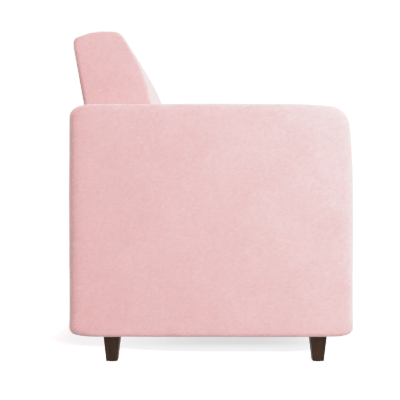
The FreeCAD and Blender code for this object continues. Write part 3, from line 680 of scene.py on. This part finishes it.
def arm(side):
    """One arm's upholstery: side is 1 for the chair's left arm and -1 for its right."""
    name = "left" if side > 0 else "right"
    front, rear, low, high = ARM_LOW.y, ARM_HIGH.y, ARM_LOW.z + ARM_CLEARANCE, ARM_HIGH.z
    corners = [
        Corner(front, low, (23 * MM, 74 * MM), 3.0),
        Corner(rear, low, (100 * MM, 25 * MM), 4.2),
        Corner(rear, high, (34 * MM, 66 * MM), 2.6),
        Corner(front + 116 * MM, high, 60 * MM, main=False),
        Corner(front + 11.5 * MM, high - 10.5 * MM, 41 * MM),
        Corner(front, high - 152 * MM, 60 * MM, main=False),
    ]

    def edge(p):
        """Softest at the rear and tightest underneath."""
        behind = smooth_step(1 - (rear - p.x) / ARM_EDGE_REACH)
        beneath = smooth_step(1 - (p.y - low) / ARM_EDGE_REACH)
        return ARM_EDGE + ARM_EDGE_BEHIND * behind + ARM_EDGE_BENEATH * beneath

    form = PaddedForm(
        corners, (64, 52), (ARM_LOW.x, ARM_HIGH.x), edge,
        place=lambda a, b, h: Vector((side * h, a, b)),
        strip_crown=lambda p, share: 0.4 * MM,
        face_crown=2.5 * MM,
        strip_rows=9,
    )
    piece = form.mesh(f"arm_{name}")
    ruffle(piece, 0.8 * MM, 0.13, seed=side + 2)
    dress(piece, SUEDE)
    finish_stitched(piece, form, "chair", (f"arm_cover_{name}", f"arm_foam_{name}"))


# Leaning back. Its own frame starts at the outside panel's top edge and runs forwards and up the lean

BACK_EDGE, BACK_EDGE_BEHIND = 10 * MM, 3 * MM
BACK_CROWN, WAIST_CROWN = 2 * MM, 35 * MM
TOP_EDGE = Vector((OUTSIDE_HIGH.y, OUTSIDE_HIGH.z - FABRIC * math.sin(BACK_LEAN)))


def back_point(forward, up):
    """(y, z) in the chair of a point of the back's own frame."""
    return TOP_EDGE + Vector((
        up * math.sin(BACK_LEAN) - forward * math.cos(BACK_LEAN),
        up * math.cos(BACK_LEAN) + forward * math.sin(BACK_LEAN),
    ))


def back_point_at(forward, z):
    """(y, z) of the point that far in front of the rear face, at a height."""
    up = (z - TOP_EDGE.y - forward * math.sin(BACK_LEAN)) / math.cos(BACK_LEAN)
    return back_point(forward, up)


def back():
    """The back's cover: a straight rear, a crowned top and a front that curves away towards the top."""
    rear_top, crown = back_point(0, 18 * MM), back_point(65 * MM, 28 * MM)
    front_top, bend = back_point(132 * MM, 12 * MM), back_point(BACK_DEPTH, -110 * MM)
    rear_bottom = back_point_at(3 * FABRIC, BACK_BOTTOM)
    front_bottom = back_point_at(BACK_DEPTH, BACK_BOTTOM)
    corners = [
        Corner(*front_bottom, 18 * MM),
        Corner(*rear_bottom, 12 * MM),
        Corner(*rear_top, 15 * MM),
        Corner(*crown, 26 * MM, main=False),
        Corner(*front_top, 17 * MM, 2.2),
        Corner(*bend, 62 * MM, main=False),
    ]

    def strip_crown(p, share):
        """The front swells most at its waist and a little elsewhere, and the rear not at all."""
        ahead = (back_point_at(BACK_DEPTH / 2, p.y).x - p.x) / (BACK_DEPTH / 2)
        waist = smooth_step((front_top.y - 25 * MM - p.y) / 0.23) * smooth_step((p.y - CUSHION_HIGH.z) / 0.12)
        return smooth_step(ahead) * (BACK_CROWN + WAIST_CROWN * waist)

    def edge(p):
        """Softer behind than in front and on top."""
        behind = smooth_step((p.x - back_point_at(BACK_DEPTH / 2, p.y).x) / (BACK_DEPTH / 3))
        top = smooth_step((p.y - TOP_EDGE.y) / (20 * MM))
        return BACK_EDGE + BACK_EDGE_BEHIND * behind * (1 - top)

    form = PaddedForm(
        corners, (18, 56), (-BACK_HALF_WIDTH, BACK_HALF_WIDTH), edge,
        place=lambda a, b, h: Vector((h, a, b)),
        strip_crown=strip_crown,
        face_crown=1.0 * MM,
        strip_rows=44,
    )
    piece = form.mesh("back_upholstery")
    ruffle(piece, 1.0 * MM, 0.1, seed=5)
    dress(piece, SUEDE)
    finish_stitched(piece, form, "chair", ("back_cover", "back_foam"))


def outside_back():
    """The tight panel that closes the back from behind, wider low down, where the arms' edges leave room."""
    bottom = (OUTSIDE_LOW.z - OUTSIDE_HIGH.z) / math.cos(BACK_LEAN)
    top = 4 * MM
    wide, narrow = (BACK_HALF_WIDTH - inset for inset in OUTSIDE_INSET)
    corners = [
        Corner(-wide, bottom, 6 * MM),
        Corner(wide, bottom, 6 * MM),
        Corner(narrow, top, 8 * MM),
        Corner(-narrow, top, 8 * MM),
    ]

    def place(a, b, h):
        point = back_point(-h, b)
        return Vector((a, point.x, point.y))

    form = PaddedForm(
        corners, (44, 60), (-6 * FABRIC, 0.5 * FABRIC), lambda p: 4 * MM,
        place=place,
        strip_crown=lambda p, share: 0.0,
        face_crown=1.2 * MM,
        strip_rows=2,
        seamed=False,
    )
    piece = form.mesh("outside_back")
    dress(piece, SUEDE_PANEL)
    finish_padded(piece, "chair", ("outside_back_cover",))


# Seat cushion

CUSHION_PRESSURE = 4.0


def cushion():
    """The loose seat cushion: crowned, with a strip whose rear leans with the back and carries the zip."""
    low, high = CUSHION_LOW, CUSHION_HIGH
    slope = math.tan(BACK_LEAN)
    rear_low = high.y - (high.z - low.z) * slope
    corners = [
        Corner(low.x, low.y, 30 * MM, 2.3),
        Corner(high.x, low.y, 30 * MM, 2.3),
        Corner(high.x, rear_low, 22 * MM, 2.2),
        Corner(low.x, rear_low, 22 * MM, 2.2),
    ]

    def place(a, b, h):
        lean = (b - low.y) / (rear_low - low.y)
        return Vector((a, b + lean * slope * (h - low.z), h))

    def strip_crown(p, share):
        """The front and sides swell, and the rear with the zip stays straight."""
        front = smooth_step((rear_low - 40 * MM - p.y) / 0.3)
        return 2 * MM * front

    form = PaddedForm(
        corners, (46, 40), (low.z, high.z), lambda p: 12 * MM,
        place=place,
        strip_crown=strip_crown,
        face_crown=3 * MM,
        strip_rows=12,
    )
    piece = form.mesh("seat_cushion")
    limit_x = SEAT_HALF_WIDTH - 0.8 * MM

    def stay(p):
        """Keeps a point clear of the arms, the back and the deck."""
        rear = rear_low + slope * (p.z - low.z)
        return Vector((min(max(p.x, -limit_x), limit_x), min(p.y, rear), max(p.z, low.z)))

    puff(piece, CUSHION_PRESSURE, form.caps(22 * MM, 5 * MM), stay)
    ruffle(piece, 1.2 * MM, 0.09, seed=9)
    dress(piece, SUEDE)
    finish_stitched(piece, form, "seat_cushion", ("cushion_cover", "cushion_foam"))


# Sheets: the front border over its foam, the deck cloth and the dust cover


def strip_surface(name, profile, half_width, columns, shape):
    """A sheet that follows a profile of (y, z) points across the chair.

    shape(across, row) is a point's move, at a place from -1 to 1 across the chair and a share of the profile.
    """
    rows = len(profile)
    points, faces = [], []
    for j, (y, z) in enumerate(profile):
        for i in range(columns + 1):
            across = 2 * i / columns - 1
            points.append(Vector((across * half_width, y, z)) + shape(across, j / (rows - 1)))
    for j in range(rows - 1):
        for i in range(columns):
            k = j * (columns + 1) + i
            faces.append((k, k + 1, k + columns + 2, k + columns + 1))
    return new_piece(name, points, faces)


def flat_sheet(name, low, high, z, sag, columns, rows):
    """A level rectangle of cloth that sags a little between its fixed edges."""
    profile = [(low.y + (high.y - low.y) * j / rows, z) for j in range(rows + 1)]

    def shape(across, row):
        along = 2 * row - 1
        return Vector((0, 0, -sag * (1 - across ** 2) * (1 - along ** 2)))

    return strip_surface(name, profile, high.x, columns, shape)


def front_border():
    """The cover of the seat's front rail: turned under it, up its front and back over its top."""
    front, top, bottom = BORDER_LOW.y, BORDER_HIGH.z, BORDER_LOW.z
    roll = 12 * MM
    tuck = 2 * MM
    turns = [math.pi / 2 * i / 6 for i in range(1, 6)]
    profile = [(front + roll + tuck, bottom + FABRIC / 2), (front + roll, bottom + FABRIC / 2)]
    for turn in turns:
        profile.append((front + roll - roll * math.sin(turn), bottom + roll - roll * math.cos(turn)))
    steps = 24
    profile += [(front, bottom + roll + (top - bottom - 2 * roll) * i / steps) for i in range(steps + 1)]
    for turn in turns:
        profile.append((front + roll - roll * math.cos(turn), top - roll + roll * math.sin(turn)))
    profile += [(front + roll + (BORDER_HIGH.y - front - roll) * i / 8, top) for i in range(9)]
    crown = 4 * MM

    def shape(across, row):
        ease = (1 - across ** 8) * math.sin(math.pi * min(row / 0.8, 1.0))
        return Vector((0, -crown * ease, 0))

    piece = strip_surface("seat_border", profile, BORDER_HIGH.x, 50, shape)
    ruffle(piece, 0.8 * MM, 0.08, seed=13)
    dress(piece, SUEDE_PANEL)
    add_modifier(piece, "SOLIDIFY", thickness=FABRIC, offset=0.0)
    finish_padded(piece, "chair", ("seat_front_border", "front_border_foam"))


def deck():
    """The lining cloth that the cushion rests on, stretched over the springs and their foam."""
    piece = flat_sheet("deck_cloth", DECK_LOW, DECK_HIGH, DECK_HIGH.z - 0.5 * MM, 4 * MM, 40, 32)
    dress(piece, DECK_CLOTH)
    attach(piece, "chair")
    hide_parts("seat_deck_cloth", "seat_deck_foam")


def dust_cover():
    """The thin cloth stapled under the seat box."""
    piece = flat_sheet("dust_cloth", DUST_LOW, DUST_HIGH, DUST_LOW.z + 0.5 * MM, 2 * MM, 40, 40)
    dress(piece, DUST_FELT)
    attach(piece, "chair")
    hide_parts("dust_cover")


arm(1)
arm(-1)
back()
outside_back()
cushion()
front_border()
deck()
dust_cover()

# Materials of the CAD nodes that show as they are

MATERIAL_OF_SLOT = {
    "leg_wood": LEG_WOOD,
    "frame_wood": FRAME_WOOD,
    "hardboard": HARDBOARD,
    "steel": STEEL,
    "webbing": WEBBING,
    "glide_plastic": GLIDE_PLASTIC,
    "zip_tape": ZIP_TAPE,
    "zip_metal": ZIP_METAL,
}
for entry in frame["record"]["subparts"]:
    node = nodes[entry["node"]]
    if not node.hide_render:
        dress(node, MATERIAL_OF_SLOT[entry["material_slot"]])
for name in ("seat_springs", "spring_tie_wires", "spring_clips"):
    dress(nodes[name], SPRING_STEEL)


# Floor, light and camera

AMBIENT = 0.60
BACKDROP = 1.6
# The floor's own light, near the middle and far out, and the stretched distances between which it grows
FLOOR_GLOW = (0.6, 1.3)
GLOW_REACH = (0.085, 0.27)
GLOW_STRETCH = (2.3, 0.8, 1.0)
FLOOR_HALF_WIDTH = 1.6
# name, place, aim, diameter and watts
LIGHTS = (
    ("key", (-2.1, -1.5, 1.3), (-0.3, 0.0, 0.35), 2.2, 71),
    ("fill", (2.2, -1.5, 1.6), (0.3, 0.0, 0.35), 2.2, 30),
    ("above", (-0.2, -0.2, 2.6), (0.0, 0.0, 0.0), 2.0, 8),
    ("behind", (1.2, 2.5, 1.4), (0.0, 0.0, 0.4), 2.2, 42),
)
# The film curve: (brightness, value shown) up to the brightness that counts as white
FILM_WHITE = 1.42
FILM_CURVE = (
    (0.15, 0.15), (0.3, 0.3), (0.5, 0.5), (0.6, 0.615), (0.7, 0.735),
    (0.8, 0.79), (0.9, 0.822), (1.0, 0.85), (1.15, 0.875), (1.3, 0.895),
)


def floor():
    """A white studio floor whose own light grows outwards, so that shadows fade away from the chair."""
    far = FLOOR_HALF_WIDTH
    corners = [(-far, -far, 0), (far, -far, 0), (far, far, 0), (-far, far, 0)]
    piece = new_piece("floor", corners, [(0, 1, 2, 3)])
    look = Look("studio_floor", Base_Color=(0.87, 0.9, 0.9, 1), Roughness=0.4, Specular_IOR_Level=0.3,
                Emission_Color=(1, 1, 1, 1))
    look.set("Roughness", look.scaled(look.noise((30, 30, 30)), 0.35, 0.45))
    from_middle = look.stretched(GLOW_STRETCH)
    squared = look.node("ShaderNodeVectorMath", operation="MULTIPLY")
    look.link(from_middle, squared.inputs[0])
    look.link(from_middle, squared.inputs[1])
    distance = look.node("ShaderNodeVectorMath", operation="LENGTH")
    look.link(squared.outputs["Vector"], distance.inputs[0])
    look.set("Emission Strength", look.scaled(distance.outputs["Value"], *FLOOR_GLOW, *GLOW_REACH))
    dress(piece, look.material)
    piece.visible_diffuse = False


def area_light(name, position, target, size, watts):
    data = bpy.data.lights.new(name, "AREA")
    data.shape = "DISK"
    data.size = size
    data.energy = watts
    lamp = bpy.data.objects.new(name, data)
    lamp.location = position
    lamp.rotation_euler = (Vector(target) - Vector(position)).to_track_quat("-Z", "Y").to_euler()
    bpy.context.scene.collection.objects.link(lamp)


def studio():
    """White surroundings: bright to the camera, and softer as light on the chair."""
    world = bpy.data.worlds.new("studio")
    world.use_nodes = True
    tree = world.node_tree
    seen = tree.nodes["Background"]
    seen.inputs["Color"].default_value = (1, 1, 1, 1)
    seen.inputs["Strength"].default_value = BACKDROP
    lighting = tree.nodes.new("ShaderNodeBackground")
    lighting.inputs["Strength"].default_value = AMBIENT
    path = tree.nodes.new("ShaderNodeLightPath")
    either = tree.nodes.new("ShaderNodeMixShader")
    tree.links.new(path.outputs["Is Camera Ray"], either.inputs[0])
    tree.links.new(lighting.outputs[0], either.inputs[1])
    tree.links.new(seen.outputs[0], either.inputs[2])
    tree.links.new(either.outputs[0], tree.nodes["World Output"].inputs["Surface"])
    bpy.context.scene.world = world
    for name, place, aim, size, watts in LIGHTS:
        area_light(name, place, aim, size, watts)
    develop()


def develop():
    """The picture's tones: true in the shadows, rolled off like film towards white."""
    settings = bpy.context.scene.view_settings
    settings.view_transform = "Standard"
    settings.use_curve_mapping = True
    mapping = settings.curve_mapping
    mapping.white_level = (FILM_WHITE, FILM_WHITE, FILM_WHITE)
    points = mapping.curves[3].points
    for bright, shown in FILM_CURVE:
        points.new(bright / FILM_WHITE, shown)
    mapping.update()


CAMERA_DISTANCE = 1.65
CAMERA_HEIGHT = 0.436


def camera():
    """Looks level along +X at the outside of the chair's right arm."""
    data = bpy.data.cameras.new("camera")
    data.sensor_width = 36.0
    data.lens = 60.1
    data.shift_x = -0.0185
    data.shift_y = -0.024
    item = bpy.data.objects.new("camera", data)
    item.location = (-ARM_HIGH.x - CAMERA_DISTANCE, 2 * MM, CAMERA_HEIGHT)
    item.rotation_euler = (math.pi / 2, 0, -math.pi / 2)
    bpy.context.scene.collection.objects.link(item)
    bpy.context.scene.camera = item


floor()
studio()
camera()
